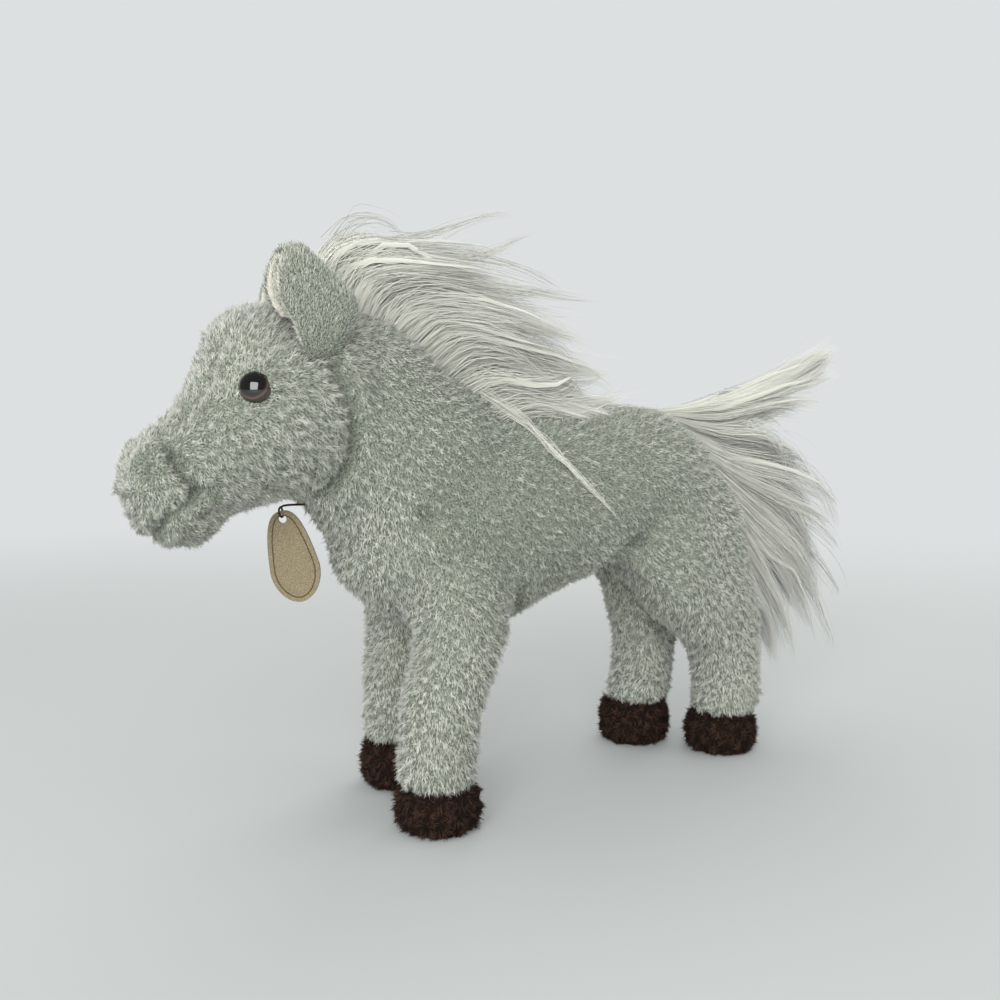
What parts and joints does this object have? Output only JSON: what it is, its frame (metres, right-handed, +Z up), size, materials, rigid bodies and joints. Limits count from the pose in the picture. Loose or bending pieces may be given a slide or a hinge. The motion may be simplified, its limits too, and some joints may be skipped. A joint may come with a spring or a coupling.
{
  "type": "plush horse",
  "caption": "Stuffed toy horse that stands on soft legs, with long mane and tail, plastic eyes and a hang tag.",
  "frame": {"origin": "on the floor, under the middle of the whole toy", "axes": "+Z up, nose towards -X, the horse's left side towards -Y"},
  "size_m": [0.3752, 0.089, 0.2402],
  "materials": {
    "body_plush": "short grey-green plush pile with pale tips, matte",
    "ear_lining_plush": "short cream plush pile, matte",
    "hoof_plush": "short dark brown plush pile, matte",
    "long_fibre": "long silky pale fibres",
    "eye_plastic": "dark brown gloss dome",
    "washer_plastic": "natural nylon",
    "tag_suede": "tan suede finish, matte",
    "thread": "twisted brown thread"
  },
  "bodies": {
    "torso": {"torso": "body_plush", "neck": "body_plush", "mane": "long_fibre", "tag_loop": "thread"},
    "head": {"head": "body_plush", "muzzle": "body_plush", "chin": "body_plush", "left_eye": "eye_plastic", "left_eye_washer": "washer_plastic", "right_eye": "eye_plastic", "right_eye_washer": "washer_plastic"},
    "left_ear": {"left_ear": "body_plush", "left_ear_lining": "ear_lining_plush"},
    "right_ear": {"right_ear": "body_plush", "right_ear_lining": "ear_lining_plush"},
    "tail": {"tail": "long_fibre"},
    "tag": {"hang_tag": "tag_suede", "hang_tag_back": "tag_suede"},
    "left_front_leg": {"left_front_leg": "body_plush", "left_front_hoof": "hoof_plush"},
    "right_front_leg": {"right_front_leg": "body_plush", "right_front_hoof": "hoof_plush"},
    "left_hind_leg": {"left_hind_leg": "body_plush", "left_hind_hoof": "hoof_plush"},
    "right_hind_leg": {"right_hind_leg": "body_plush", "right_hind_hoof": "hoof_plush"}
  },
  "joints": [
    {"name": "head_nod", "type": "hinge", "parent": "torso", "child": "head", "pos_m": [-0.11583, 0, 0.1726], "axis": [0, 1, 0], "range_deg": [-8, 8], "stiffness_Nm_per_rad": 1.2},
    {"name": "left_ear_fold", "type": "hinge", "parent": "head", "child": "left_ear", "pos_m": [-0.12193, -0.02587, 0.19158], "axis": [0, 0.9903, 0.1392], "range_deg": [-18, 18], "stiffness_Nm_per_rad": 0.04},
    {"name": "right_ear_fold", "type": "hinge", "parent": "head", "child": "right_ear", "pos_m": [-0.12193, 0.02587, 0.19158], "axis": [0, 0.9976, 0.0698], "range_deg": [-18, 18], "stiffness_Nm_per_rad": 0.04},
    {"name": "left_front_leg_flex", "type": "hinge", "parent": "torso", "child": "left_front_leg", "pos_m": [-0.05943, -0.0225, 0.0965], "axis": [0, 1, 0], "range_deg": [-12, 12], "stiffness_Nm_per_rad": 0.8},
    {"name": "right_front_leg_flex", "type": "hinge", "parent": "torso", "child": "right_front_leg", "pos_m": [-0.05943, 0.0225, 0.0965], "axis": [0, 1, 0], "range_deg": [-12, 12], "stiffness_Nm_per_rad": 0.8},
    {"name": "left_hind_leg_flex", "type": "hinge", "parent": "torso", "child": "left_hind_leg", "pos_m": [0.06107, -0.0225, 0.1036], "axis": [0, 1, 0], "range_deg": [-12, 12], "stiffness_Nm_per_rad": 1.5},
    {"name": "right_hind_leg_flex", "type": "hinge", "parent": "torso", "child": "right_hind_leg", "pos_m": [0.06107, 0.0225, 0.1036], "axis": [0, 1, 0], "range_deg": [-12, 12], "stiffness_Nm_per_rad": 1.5},
    {"name": "tail_lift", "type": "hinge", "parent": "torso", "child": "tail", "pos_m": [0.06155, 0, 0.16835], "axis": [0, 1, 0], "range_deg": [-30, 0], "stiffness_Nm_per_rad": 0.08},
    {"name": "tag_swing", "type": "hinge", "parent": "torso", "child": "tag", "pos_m": [-0.12728, 0, 0.12681], "axis": [0.829, -0.5592, 0], "range_deg": [-20, 20]}
  ]
}
